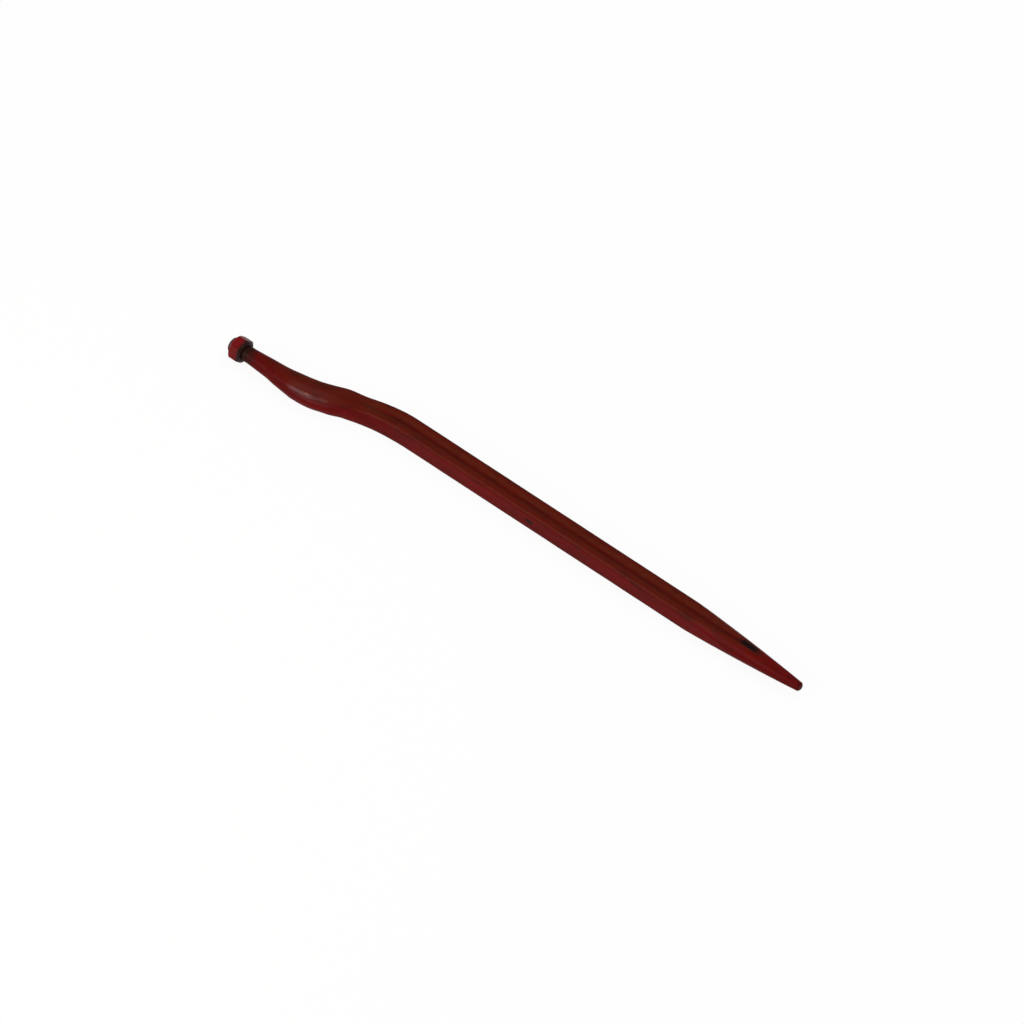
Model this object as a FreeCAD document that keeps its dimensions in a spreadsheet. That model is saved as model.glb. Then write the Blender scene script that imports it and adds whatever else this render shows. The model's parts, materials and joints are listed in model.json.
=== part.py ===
import FreeCAD, Part
import math
import os
import Sketcher

# Bale spear: one forged tine and the hexagon nut that pulls it into its sleeve.
# Every sub-part is drawn with the axis of its threaded neck on its own X axis,
# X running from the threaded end to the point, the bar lying on the +Y side.

V = FreeCAD.Vector
doc = FreeCAD.newDocument("bale_spear")

# ---------------------------------------------------------------- dimensions

DRIVING = [
    ("overall_length", 1250.0, "threaded end to blunt point"),
    ("bar_side", 42.0, "across the flats of the rolled bar"),
    ("bar_corner", 7.0, "rounding of the bar's four corners"),
    ("groove_mouth", 21.0, "width of the rolled groove at the face"),
    ("groove_depth", 5.0, "face to the floor of the groove"),
    ("groove_floor", 2.7, "width of the narrow floor of the groove"),
    ("groove_run_in", 39.0, "length over which the groove fades in"),
    ("crank_offset", 48.4, "neck axis to bar axis"),
    ("crank_angle", 19.1, "slope of the middle run, degrees"),
    ("crank_start", 170.0, "threaded end to the first corner"),
    ("neck_bend", 137.5, "centreline radius of the bend by the neck"),
    ("bar_bend", 344.0, "centreline radius of the bend by the bar"),
    ("crank_side", 41.0, "across the flats of the crank, drawn down a little"),
    ("crank_corner", 11.5, "rounding of the crank's corners"),
    ("sharpen_length", 85.0, "length of bend over which the corners sharpen"),
    ("thread_diameter", 28.0, "major diameter, 1.5 mm pitch"),
    ("thread_chamfer", 1.5, "bevel of the threaded end"),
    ("neck_diameter", 28.6, "slim end of the neck, in front of the thread"),
    ("neck_straight", 12.0, "nut face to the start of the cone"),
    ("cone_diameter", 36.8, "where the slim cone turns into the flare"),
    ("cone_length", 76.0, "nut face to the flare"),
    ("point_length", 259.0, "length of the tapered point"),
    ("point_curve", 4770.0, "radius of the point's long side curve"),
    ("tip_diameter", 17.0, "point, just behind its bevel"),
    ("tip_bevel", 2.7, "bevel of the blunt end"),
    ("nut_flats", 41.0, "across the flats"),
    ("nut_height", 25.0, "height of the nut"),
    ("nut_turn", 15.0, "how far the nut is turned from lying on a flat, degrees"),
    ("nut_bevel", 4.5, "corner bevel, measured along the axis"),
    ("nut_seat", 36.6, "round face left by the bevel"),
    ("nut_mouth", 1.2, "countersink of the threaded hole"),
    ("nut_proud", 6.0, "thread standing out behind the nut"),
    ("nut_clearance", 0.4, "lowest corner of the nut to the floor the bar lies on"),
]

DERIVED = [
    ("nut_front", "=nut_proud + nut_height"),
    ("cone_end", "=nut_front + cone_length"),
    ("bar_start", "=crank_start + crank_offset / tan(crank_angle)"),
    ("neck_tangent", "=neck_bend * tan(crank_angle / 2)"),
    ("bar_tangent", "=bar_bend * tan(crank_angle / 2)"),
    ("neck_end", "=crank_start - neck_tangent"),
    ("run_from_x", "=crank_start + neck_tangent * cos(crank_angle)"),
    ("run_from_y", "=neck_tangent * sin(crank_angle)"),
    ("bend_from_x", "=bar_start - bar_tangent * cos(crank_angle)"),
    ("bend_from_y", "=crank_offset - bar_tangent * sin(crank_angle)"),
    ("bend_to_x", "=bar_start + bar_tangent"),
    ("sharpen_angle", "=crank_angle - sharpen_length / bar_bend * 180 / pi"),
    ("sharpen_x", "=bend_to_x - bar_bend * sin(sharpen_angle)"),
    ("sharpen_y", "=crank_offset - bar_bend * (1 - cos(sharpen_angle))"),
    ("fade_angle", "=crank_angle - groove_run_in / bar_bend * 180 / pi"),
    ("fade_x", "=bend_to_x - bar_bend * sin(fade_angle)"),
    ("fade_y", "=crank_offset - bar_bend * (1 - cos(fade_angle))"),
    ("groove_wall", "=(groove_mouth - groove_floor) / 2"),
    ("groove_rise", "=groove_depth * 0.6"),
    ("groove_spread", "=groove_floor / 2 + groove_wall * 1.6"),
    ("point_start", "=overall_length - point_length"),
    ("corner_reach", "=(bar_side / 2 - bar_corner) * sqrt(2) + bar_corner"),
    ("nut_corner", "=nut_flats / sqrt(3)"),
    # The bar lies on its lower face. The neck is forged a little above the bar's own
    # axis, so that the lowest corner of the nut just clears the floor.
    ("nut_reach", "=nut_corner * cos(30 - nut_turn)"),
    ("neck_lift", "=nut_reach + nut_clearance - bar_side / 2"),
    ("nut_near_side", "=nut_corner * cos(nut_turn)"),
    ("neck_y", "=(nut_near_side - crank_offset - bar_side / 2) / 2"),
]


def make_sheet():
    sheet = doc.addObject("Spreadsheet::Sheet", "Dimensions")
    sheet.set("A1", "name")
    sheet.set("B1", "value")
    sheet.set("C1", "meaning")
    row = 2
    for name, value, meaning in DRIVING:
        sheet.set("A%d" % row, name)
        sheet.set("B%d" % row, repr(value))
        sheet.set("C%d" % row, meaning)
        sheet.setAlias("B%d" % row, name)
        row += 1
    for name, formula in DERIVED:
        sheet.set("A%d" % row, name)
        sheet.set("B%d" % row, formula)
        sheet.setAlias("B%d" % row, name)
        row += 1
    doc.recompute()
    return sheet


sheet = make_sheet()


def size(name):
    value = sheet.get(name)
    return float(getattr(value, "Value", value))


def cell(name):
    return "Dimensions." + name


# ------------------------------------------------------------ sketch helpers

def make_body(name):
    body = doc.addObject("PartDesign::Body", name)
    body.Label = name
    return body


def origin_plane(body, role):
    return next(o for o in body.Origin.OriginFeatures if o.Role == role)


def new_sketch(body, name, role):
    sketch = body.newObject("Sketcher::SketchObject", name)
    sketch.AttachmentSupport = [(origin_plane(body, role), "")]
    sketch.MapMode = "FlatFace"
    return sketch


def cross_sketch(body, name, x, y, z=None, turn=None):
    """A sketch square to the path: its x runs along Y and its y along Z."""
    sketch = new_sketch(body, name, "YZ_Plane")
    sketch.setExpression("AttachmentOffset.Base.x", y)
    if z:
        sketch.setExpression("AttachmentOffset.Base.y", z)
    sketch.setExpression("AttachmentOffset.Base.z", x)
    if turn:
        sketch.AttachmentOffset = FreeCAD.Placement(V(0, 0, 0), FreeCAD.Rotation(V(0, 1, 0), 10))
        sketch.setExpression("AttachmentOffset.Rotation.Angle", "%s * 1 deg" % turn)
    return sketch


def value_of(expression):
    """The value of one expression on the sheet, without its unit."""
    value = sheet.evalExpression(expression.replace("Dimensions.", ""))
    return float(getattr(value, "Value", value))


def bind_point(sketch, edge, end, x, y):
    """Tie one end of an edge to the two expressions of its place."""
    for kind, expression in (("DistanceX", x), ("DistanceY", y)):
        value = value_of(expression)
        index = sketch.addConstraint(Sketcher.Constraint(kind, -1, 1, edge, end, value))
        sketch.setExpression("Constraints[%d]" % index, expression)


def join(sketch, edge, following):
    sketch.addConstraint(Sketcher.Constraint("Coincident", edge, 2, following, 1))


def chain(sketch, points, closed=True):
    """Straight edges from point to point, each point bound to the sheet."""
    places = [V(value_of(x), value_of(y), 0) for x, y in points]
    count = len(points) if closed else len(points) - 1
    for i in range(count):
        sketch.addGeometry(Part.LineSegment(places[i], places[(i + 1) % len(points)]))
    for i in range(count - 1):
        join(sketch, i, i + 1)
    if closed:
        join(sketch, count - 1, 0)
    for i in range(count):
        bind_point(sketch, i, 1, *points[i])
    if not closed:
        bind_point(sketch, count - 1, 2, *points[-1])


def rounded_square(sketch, side, corner):
    """A centred square with round corners, both sizes bound to the sheet."""
    half = value_of(side) / 2
    radius = value_of(corner)
    inner = half - radius
    turns = [(1, 1), (-1, 1), (-1, -1), (1, -1)]
    for i, (sx, sy) in enumerate(turns):
        start = i * math.pi / 2
        circle = Part.Circle(V(sx * inner, sy * inner, 0), V(0, 0, 1), radius)
        sketch.addGeometry(Part.ArcOfCircle(circle, start, start + math.pi / 2))
        nx, ny = turns[(i + 1) % 4]
        first = V(sx * inner, sy * half, 0) if i % 2 == 0 else V(sx * half, sy * inner, 0)
        last = V(nx * inner, ny * half, 0) if i % 2 == 0 else V(nx * half, ny * inner, 0)
        sketch.addGeometry(Part.LineSegment(first, last))
    for i in range(4):
        arc = 2 * i
        line = arc + 1
        sketch.addConstraint(Sketcher.Constraint("Tangent", arc, 2, line, 1))
        sketch.addConstraint(Sketcher.Constraint("Tangent", line, 2, (arc + 2) % 8, 1))
        sketch.addConstraint(Sketcher.Constraint("Horizontal" if i % 2 == 0 else "Vertical", line))
    for arc in (2, 4, 6):
        sketch.addConstraint(Sketcher.Constraint("Equal", 0, arc))
    index = sketch.addConstraint(Sketcher.Constraint("Radius", 0, radius))
    sketch.setExpression("Constraints[%d]" % index, corner)
    bind_point(sketch, 0, 3, "(%s) / 2 - (%s)" % (side, corner), "(%s) / 2 - (%s)" % (side, corner))
    for line, kind, vertex in ((5, "DistanceY", 1), (3, "DistanceX", 1)):
        index = sketch.addConstraint(Sketcher.Constraint(kind, line, vertex, -1, 1, half))
        sketch.setExpression("Constraints[%d]" % index, "(%s) / 2" % side)


def arc_through(sketch, centre, radius, first, last):
    """An arc from first to last angle (degrees) about a centre."""
    circle = Part.Circle(centre, V(0, 0, 1), radius)
    return sketch.addGeometry(Part.ArcOfCircle(circle, math.radians(first), math.radians(last)))


# -------------------------------------------------------------- tine: paths

def neck_path(body):
    """Start of the neck bend, round it and along the middle run."""
    sketch = new_sketch(body, "NeckPath", "XY_Plane")
    angle = size("crank_angle")
    bend = arc_through(sketch, V(size("neck_end"), size("neck_bend"), 0), size("neck_bend"),
                       270, 270 + angle)
    run = sketch.addGeometry(Part.LineSegment(
        V(size("run_from_x"), size("run_from_y"), 0),
        V(size("bend_from_x"), size("bend_from_y"), 0)))
    join(sketch, bend, run)
    bind_point(sketch, bend, 1, cell("neck_end"), "0")
    bind_point(sketch, run, 1, cell("run_from_x"), cell("run_from_y"))
    bind_point(sketch, run, 2, cell("bend_from_x"), cell("bend_from_y"))
    index = sketch.addConstraint(Sketcher.Constraint("Radius", bend, size("neck_bend")))
    sketch.setExpression("Constraints[%d]" % index, cell("neck_bend"))
    return sketch


def bar_path(body, name, from_x, from_y, from_angle, to_x):
    """From far out along the bar back to it and round part of the bar bend."""
    sketch = new_sketch(body, name, "XY_Plane")
    bar = sketch.addGeometry(Part.LineSegment(
        V(value_of(to_x), size("crank_offset"), 0),
        V(size("bend_to_x"), size("crank_offset"), 0)))
    centre = V(size("bend_to_x"), size("crank_offset") - size("bar_bend"), 0)
    bend = arc_through(sketch, centre, size("bar_bend"), 90, 90 + value_of(from_angle))
    join(sketch, bar, bend)
    bind_point(sketch, bar, 1, to_x, cell("crank_offset"))
    bind_point(sketch, bar, 2, cell("bend_to_x"), cell("crank_offset"))
    bind_point(sketch, bend, 2, from_x, from_y)
    index = sketch.addConstraint(Sketcher.Constraint("Radius", bend, size("bar_bend")))
    sketch.setExpression("Constraints[%d]" % index, cell("bar_bend"))
    return sketch


def bend_path(body, name, to_x, to_y, to_angle):
    """From a place on the bar bend back to where the bend begins."""
    sketch = new_sketch(body, name, "XY_Plane")
    centre = V(size("bend_to_x"), size("crank_offset") - size("bar_bend"), 0)
    bend = arc_through(sketch, centre, size("bar_bend"), 90 + value_of(to_angle),
                       90 + size("crank_angle"))
    bind_point(sketch, bend, 1, to_x, to_y)
    bind_point(sketch, bend, 2, cell("bend_from_x"), cell("bend_from_y"))
    index = sketch.addConstraint(Sketcher.Constraint("Radius", bend, size("bar_bend")))
    sketch.setExpression("Constraints[%d]" % index, cell("bar_bend"))
    return sketch


# ------------------------------------------------------------ tine: features

def add_neck(body):
    """Threaded end, thread run-out and slim cone, turned about X."""
    sketch = new_sketch(body, "NeckProfile", "XY_Plane")
    sketch.setExpression("AttachmentOffset.Base.z", cell("neck_lift"))
    chain(sketch, [
        ("0", "0"),
        ("0", "Dimensions.thread_diameter / 2 - Dimensions.thread_chamfer"),
        ("Dimensions.thread_chamfer", "Dimensions.thread_diameter / 2"),
        ("Dimensions.nut_front", "Dimensions.thread_diameter / 2"),
        ("Dimensions.nut_front", "Dimensions.neck_diameter / 2"),
        ("Dimensions.nut_front + Dimensions.neck_straight", "Dimensions.neck_diameter / 2"),
        ("Dimensions.cone_end", "Dimensions.cone_diameter / 2"),
        ("Dimensions.cone_end", "0"),
    ])
    neck = body.newObject("PartDesign::Revolution", "Neck")
    neck.Profile = sketch
    neck.ReferenceAxis = (sketch, ["H_Axis"])
    neck.Angle = 360.0


def add_pipe(body, name, profile, spine, kind="PartDesign::AdditivePipe"):
    pipe = body.newObject(kind, name)
    pipe.Profile = profile
    pipe.Spine = spine
    pipe.Mode = "Standard"
    pipe.Transition = "Transformed"
    return pipe


def add_loft(body, name, here, there):
    loft = body.newObject("PartDesign::AdditiveLoft", name)
    loft.Profile = here
    loft.Sections = [there]
    loft.Ruled = True


def add_flare(body):
    """From the round end of the cone to the soft square of the crank."""
    here = cross_sketch(body, "ConeEnd", cell("cone_end"), "0", cell("neck_lift"))
    rounded_square(here, cell("cone_diameter"), "Dimensions.cone_diameter * 0.494")
    there = cross_sketch(body, "FlareEnd", cell("neck_end"), "0")
    rounded_square(there, cell("crank_side"), cell("crank_corner"))
    add_loft(body, "Flare", here, there)


def add_crank(body):
    """Soft square round the neck bend and along the middle run."""
    start = cross_sketch(body, "CrankStart", cell("neck_end"), "0")
    rounded_square(start, cell("crank_side"), cell("crank_corner"))
    add_pipe(body, "Crank", start, neck_path(body))


def add_sharpening(body):
    """Round the bar bend, from the soft square to the bar's own section."""
    bar = cross_sketch(body, "SharpEnd", cell("sharpen_x"), cell("sharpen_y"),
                       turn=cell("sharpen_angle"))
    rounded_square(bar, cell("bar_side"), cell("bar_corner"))
    crank = cross_sketch(body, "SoftEnd", cell("bend_from_x"), cell("bend_from_y"),
                         turn=cell("crank_angle"))
    rounded_square(crank, cell("crank_side"), cell("crank_corner"))
    spine = bend_path(body, "SharpeningPath", cell("sharpen_x"), cell("sharpen_y"),
                      cell("sharpen_angle"))
    pipe = add_pipe(body, "Sharpening", bar, spine)
    pipe.Transformation = "Multisection"
    pipe.Sections = [crank]


def add_bar(body):
    """The square bar from its blunt end back round the bar bend."""
    section = cross_sketch(body, "BarSection", cell("overall_length"), cell("crank_offset"))
    rounded_square(section, cell("bar_side"), cell("bar_corner"))
    spine = bar_path(body, "BarPath", cell("sharpen_x"), cell("sharpen_y"),
                     cell("sharpen_angle"), cell("overall_length"))
    return add_pipe(body, "Bar", section, spine)


def groove_profile(sketch):
    """A shallow V with a narrow floor; its origin is on the bar's face."""
    floor = "Dimensions.groove_floor / 2"
    depth = "-Dimensions.groove_depth"
    chain(sketch, [
        ("-Dimensions.groove_spread", cell("groove_rise")),
        ("-Dimensions.groove_floor / 2", depth),
        (floor, depth),
        (cell("groove_spread"), cell("groove_rise")),
    ])


def add_grooves(body):
    """The long groove of the upper face, its fade-in and their mirror below."""
    beyond = "Dimensions.overall_length + 5"
    face = "Dimensions.bar_side / 2"
    section = cross_sketch(body, "GrooveSection", beyond, cell("crank_offset"), z=face)
    groove_profile(section)
    spine = bar_path(body, "GroovePath", cell("fade_x"), cell("fade_y"),
                     cell("fade_angle"), beyond)
    groove = add_pipe(body, "Groove", section, spine, "PartDesign::SubtractivePipe")

    full = cross_sketch(body, "FadeFull", cell("fade_x"), cell("fade_y"), z=face,
                        turn=cell("fade_angle"))
    groove_profile(full)
    lifted = cross_sketch(body, "FadeLifted", cell("bend_from_x"), cell("bend_from_y"),
                          z="Dimensions.bar_side / 2 + Dimensions.groove_depth + 0.2",
                          turn=cell("crank_angle"))
    groove_profile(lifted)
    spine = bend_path(body, "FadePath", cell("fade_x"), cell("fade_y"), cell("fade_angle"))
    fade = add_pipe(body, "GrooveFade", full, spine, "PartDesign::SubtractivePipe")
    fade.Transformation = "Multisection"
    fade.Sections = [lifted]

    below = body.newObject("PartDesign::Mirrored", "LowerGroove")
    below.Originals = [groove, fade]
    below.MirrorPlane = (origin_plane(body, "XY_Plane"), [""])
    body.Tip = below
    return below


def add_point(body):
    """Turn the bar's end down to a long curved point with a bevelled end."""
    sketch = new_sketch(body, "PointProfile", "XY_Plane")
    sketch.setExpression("AttachmentOffset.Base.y", cell("crank_offset"))
    entry = "Dimensions.corner_reach + 0.3"
    shoulder = "Dimensions.overall_length - Dimensions.tip_bevel"
    end_radius = "Dimensions.tip_diameter / 2 - Dimensions.tip_bevel"
    beyond = "Dimensions.overall_length + 6"
    clear = "Dimensions.corner_reach + 12"
    chain(sketch, [
        (shoulder, "Dimensions.tip_diameter / 2"),
        ("Dimensions.overall_length", end_radius),
        (beyond, end_radius),
        (beyond, clear),
        (cell("point_start"), clear),
        (cell("point_start"), entry),
    ], closed=False)
    first = V(value_of(cell("point_start")), value_of(entry), 0)
    last = V(value_of(shoulder), size("tip_diameter") / 2, 0)
    radius = size("point_curve")
    along = last.sub(first)
    middle = first.add(last).multiply(0.5)
    drop = math.sqrt(radius ** 2 - (along.Length / 2) ** 2)
    across = V(along.y, -along.x, 0).normalize()
    centre = middle.add(across.multiply(drop))
    start = math.degrees(math.atan2(last.y - centre.y, last.x - centre.x))
    end = math.degrees(math.atan2(first.y - centre.y, first.x - centre.x))
    side = arc_through(sketch, centre, radius, start, end)
    sketch.addConstraint(Sketcher.Constraint("Coincident", side, 1, 0, 1))
    sketch.addConstraint(Sketcher.Constraint("Coincident", side, 2, 4, 2))
    index = sketch.addConstraint(Sketcher.Constraint("Radius", side, radius))
    sketch.setExpression("Constraints[%d]" % index, cell("point_curve"))
    point = body.newObject("PartDesign::Groove", "Point")
    point.Profile = sketch
    point.ReferenceAxis = (sketch, ["H_Axis"])
    point.Angle = 360.0
    return point


def build_tine():
    body = make_body("tine")
    steps = [add_neck, add_flare, add_crank, add_sharpening, add_bar, add_grooves, add_point]
    for step in steps:
        step(body)
        doc.recompute()
        print(step.__name__, round(body.Shape.Volume), body.Shape.isValid())
    body.Placement = FreeCAD.Placement(
        V(-size("overall_length") / 2, size("neck_y"), size("bar_side") / 2),
        FreeCAD.Rotation())
    return body


# --------------------------------------------------------------------- nut

def hexagon(sketch, flats):
    """A regular hexagon about the origin with two sides level."""
    reach = "(%s) / sqrt(3)" % flats
    half = "(%s) / 2" % flats
    chain(sketch, [
        (reach, "0"),
        ("%s / 2" % reach, half),
        ("-(%s) / 2" % reach, half),
        ("-(%s)" % reach, "0"),
        ("-(%s) / 2" % reach, "-(%s)" % half),
        ("%s / 2" % reach, "-(%s)" % half),
    ])


def add_nut_blank(body):
    outline = new_sketch(body, "NutOutline", "YZ_Plane")
    hexagon(outline, cell("nut_flats"))
    blank = body.newObject("PartDesign::Pad", "NutBlank")
    blank.Profile = outline
    blank.setExpression("Length", cell("nut_height"))


def add_nut_bevels(body):
    """Turn the six corners back at each end."""
    corner = "Dimensions.nut_corner"
    seat = "Dimensions.nut_seat / 2"
    bevel = "Dimensions.nut_bevel"
    height = "Dimensions.nut_height"
    ends = [
        ("RearBevel", [("0", seat), (bevel, corner + " + 0.1"), (bevel, corner + " + 2"),
                       ("-1", corner + " + 2"), ("-1", seat)]),
        ("FrontBevel", [(height, seat), (height + " + 1", seat),
                        (height + " + 1", corner + " + 2"),
                        (height + " - " + bevel, corner + " + 2"),
                        (height + " - " + bevel, corner + " + 0.1")]),
    ]
    for name, points in ends:
        sketch = new_sketch(body, name + "Profile", "XY_Plane")
        chain(sketch, points)
        cut = body.newObject("PartDesign::Groove", name)
        cut.Profile = sketch
        cut.ReferenceAxis = (sketch, ["H_Axis"])
        cut.Angle = 360.0


def add_nut_hole(body):
    """The threaded hole at the thread's major diameter, countersunk both ends."""
    sketch = new_sketch(body, "NutHoleProfile", "XY_Plane")
    radius = "Dimensions.thread_diameter / 2"
    mouth = radius + " + Dimensions.nut_mouth"
    height = "Dimensions.nut_height"
    chain(sketch, [
        ("0", "0"),
        (height, "0"),
        (height, mouth),
        (height + " - Dimensions.nut_mouth", radius),
        ("Dimensions.nut_mouth", radius),
        ("0", mouth),
    ])
    hole = body.newObject("PartDesign::Groove", "NutHole")
    hole.Profile = sketch
    hole.ReferenceAxis = (sketch, ["H_Axis"])
    hole.Angle = 360.0


def build_nut():
    body = make_body("nut")
    for step in (add_nut_blank, add_nut_bevels, add_nut_hole):
        step(body)
        doc.recompute()
        print(step.__name__, round(body.Shape.Volume), body.Shape.isValid())
    body.Placement = FreeCAD.Placement(
        V(-size("overall_length") / 2 + size("nut_proud"), size("neck_y"),
          size("bar_side") / 2 + size("neck_lift")),
        FreeCAD.Rotation(V(1, 0, 0), size("nut_turn")))
    return body


# ------------------------------------------------------------------- output

def check_document():
    for item in doc.Objects:
        if any(word in ("Invalid", "Error") for word in item.State):
            raise RuntimeError("%s is %s" % (item.Name, item.State))


def write_parts(bodies):
    os.makedirs("parts", exist_ok=True)
    for body in bodies:
        shape = body.Shape
        if shape.isNull() or not shape.isValid():
            raise RuntimeError("%s has no valid shape" % body.Label)
        shape.exportStep("parts/%s.step" % body.Label)
        box = shape.BoundBox
        print(body.Label, len(shape.Solids), round(shape.Volume), [
            round(v, 2) for v in (box.XMin, box.XMax, box.YMin, box.YMax, box.ZMin, box.ZMax)])


bodies = [build_tine(), build_nut()]
doc.recompute()
check_document()
write_parts(bodies)
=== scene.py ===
"""A cranked bale spear: its painted forging and its hexagon nut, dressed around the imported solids."""

import json
import logging
import math
from dataclasses import dataclass, field
from enum import Enum
from typing import Callable, Dict, Iterable, List, Optional, Sequence, Tuple

import bmesh
import bpy
import numpy as np
from mathutils import Matrix, Vector

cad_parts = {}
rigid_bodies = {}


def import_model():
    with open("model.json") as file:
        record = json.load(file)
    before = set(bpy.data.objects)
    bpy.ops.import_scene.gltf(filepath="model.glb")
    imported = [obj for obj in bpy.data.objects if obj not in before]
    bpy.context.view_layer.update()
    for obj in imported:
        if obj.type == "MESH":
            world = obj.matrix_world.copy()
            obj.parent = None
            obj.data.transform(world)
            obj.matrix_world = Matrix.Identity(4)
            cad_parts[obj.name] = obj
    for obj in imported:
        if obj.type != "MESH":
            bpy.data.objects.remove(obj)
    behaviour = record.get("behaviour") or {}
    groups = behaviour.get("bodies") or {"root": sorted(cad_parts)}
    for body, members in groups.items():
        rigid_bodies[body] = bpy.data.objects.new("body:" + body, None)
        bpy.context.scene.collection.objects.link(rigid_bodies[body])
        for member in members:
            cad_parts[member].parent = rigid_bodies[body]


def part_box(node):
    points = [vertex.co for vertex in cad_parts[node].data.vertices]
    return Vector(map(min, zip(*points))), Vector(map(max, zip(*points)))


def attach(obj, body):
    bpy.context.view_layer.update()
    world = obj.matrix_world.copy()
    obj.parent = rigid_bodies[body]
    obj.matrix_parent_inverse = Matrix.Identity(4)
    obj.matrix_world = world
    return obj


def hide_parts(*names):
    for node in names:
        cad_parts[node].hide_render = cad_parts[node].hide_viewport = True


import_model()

log = logging.getLogger("bale_spear")

MM = 0.001
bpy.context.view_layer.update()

Point = Tuple[float, float, float]
Colour = Tuple[float, float, float]


class Axis(Enum):
    """The three directions of the bench, with the unit vector of each."""

    ALONG = (1.0, 0.0, 0.0)
    ACROSS = (0.0, 1.0, 0.0)
    UP = (0.0, 0.0, 1.0)


class Stretch(Enum):
    """Stretches of the forging, from the thread to the tip, that are shaped apart."""

    SHANK = "shank"
    CONE = "cone"
    FLARE = "flare"
    CRANK = "crank"
    BAR = "bar"
    POINT = "point"
    TIP = "tip"


# ------------------------------------------------------------------ bench work


def clear_selection() -> None:
    """Deselect every object, so that an operator acts on nothing by chance."""
    for thing in bpy.context.view_layer.objects:
        thing.select_set(False)


def hold(piece: bpy.types.Object) -> None:
    """Make one piece the only selected and the active object."""
    clear_selection()
    bpy.context.view_layer.objects.active = piece
    piece.select_set(True)


def fit_modifier(piece: bpy.types.Object, kind: str, name: str, **settings: object) -> None:
    """Add a modifier with its settings and apply it.

    Args:
        piece: the mesh that gets it.
        kind: the modifier's type, such as "BEVEL".
        name: its name while it lives.
        **settings: its properties.
    """
    hold(piece)
    modifier = piece.modifiers.new(name, kind)
    for key, value in settings.items():
        setattr(modifier, key, value)
    bpy.ops.object.modifier_apply(modifier=name)


class Vice:
    """One mesh held in edit mode, with its vertices picked by place."""

    def __init__(self, piece: bpy.types.Object) -> None:
        """Open the piece for editing, with nothing selected."""
        hold(piece)
        self.piece = piece
        bpy.ops.object.mode_set(mode="EDIT")
        bpy.ops.mesh.select_mode(type="VERT")
        bpy.ops.mesh.select_all(action="DESELECT")
        self.mesh = bmesh.from_edit_mesh(piece.data)
        self.picked: List[bmesh.types.BMVert] = []

    def release(self) -> bpy.types.Object:
        """Leave edit mode and hand the piece back."""
        bmesh.update_edit_mesh(self.piece.data)
        bpy.ops.object.mode_set(mode="OBJECT")
        return self.piece

    def refresh(self) -> None:
        """Take up the mesh again after an operator that changed its faces."""
        self.mesh = bmesh.from_edit_mesh(self.piece.data)
        self.picked = []

    def pick(self, vertices: Iterable[bmesh.types.BMVert]) -> int:
        """Select these vertices and nothing else.

        Args:
            vertices: what to select.

        Returns:
            How many were selected.
        """
        for vertex in self.picked:
            vertex.select = False
        self.picked = list(vertices)
        for vertex in self.picked:
            vertex.select = True
        return len(self.picked)

    def pick_where(self, test: Callable[[Vector], bool]) -> int:
        """Select every vertex whose place passes the test, and nothing else."""
        bpy.ops.mesh.select_all(action="DESELECT")
        self.refresh()
        count = self.pick(v for v in self.mesh.verts if test(v.co))
        self.mesh.select_flush(True)
        return count

    def pick_edges(self, test: Callable[[bmesh.types.BMEdge], bool]) -> int:
        """Select every edge that passes the test, and nothing else."""
        bpy.ops.mesh.select_all(action="DESELECT")
        bpy.ops.mesh.select_mode(type="EDGE")
        self.refresh()
        count = 0
        for edge in self.mesh.edges:
            if test(edge):
                edge.select = True
                count += 1
        return count

    def pick_faces(self, test: Callable[[bmesh.types.BMFace], bool]) -> int:
        """Select every face that passes the test, and nothing else."""
        bpy.ops.mesh.select_all(action="DESELECT")
        bpy.ops.mesh.select_mode(type="FACE")
        self.refresh()
        count = 0
        for face in self.mesh.faces:
            if test(face):
                face.select = True
                count += 1
        return count

    def saw(self, place: Point, normal: Point) -> None:
        """Cut right through the piece with a plane, keeping both sides."""
        bpy.ops.mesh.select_all(action="SELECT")
        bpy.ops.mesh.bisect(plane_co=place, plane_no=normal)
        bpy.ops.mesh.select_all(action="DESELECT")

    def rings(self) -> Dict[int, List[bmesh.types.BMVert]]:
        """Group the vertices by their station along the bar, in hundredths of a millimetre."""
        bpy.ops.mesh.select_all(action="DESELECT")
        bpy.ops.mesh.select_mode(type="VERT")
        self.refresh()
        found: Dict[int, List[bmesh.types.BMVert]] = {}
        for vertex in self.mesh.verts:
            found.setdefault(round(vertex.co.x * 1e5), []).append(vertex)
        return found


def scale_picked(value: Point, centre: Point) -> None:
    """Scale what is selected about a centre."""
    bpy.ops.transform.resize(value=value, center_override=centre)


def shift_picked(value: Point) -> None:
    """Move what is selected."""
    bpy.ops.transform.translate(value=value)


def mean_radius(vertices: Sequence[bmesh.types.BMVert]) -> float:
    """Mean distance of some vertices from the bar's axis."""
    return sum(math.hypot(v.co.y, v.co.z) for v in vertices) / len(vertices)


def smooth_step(low: float, high: float, value: float) -> float:
    """Ease from 0 at low to 1 at high."""
    t = min(1.0, max(0.0, (value - low) / (high - low)))
    return t * t * (3 - 2 * t)


# -------------------------------------------------------------------- the tine


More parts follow.
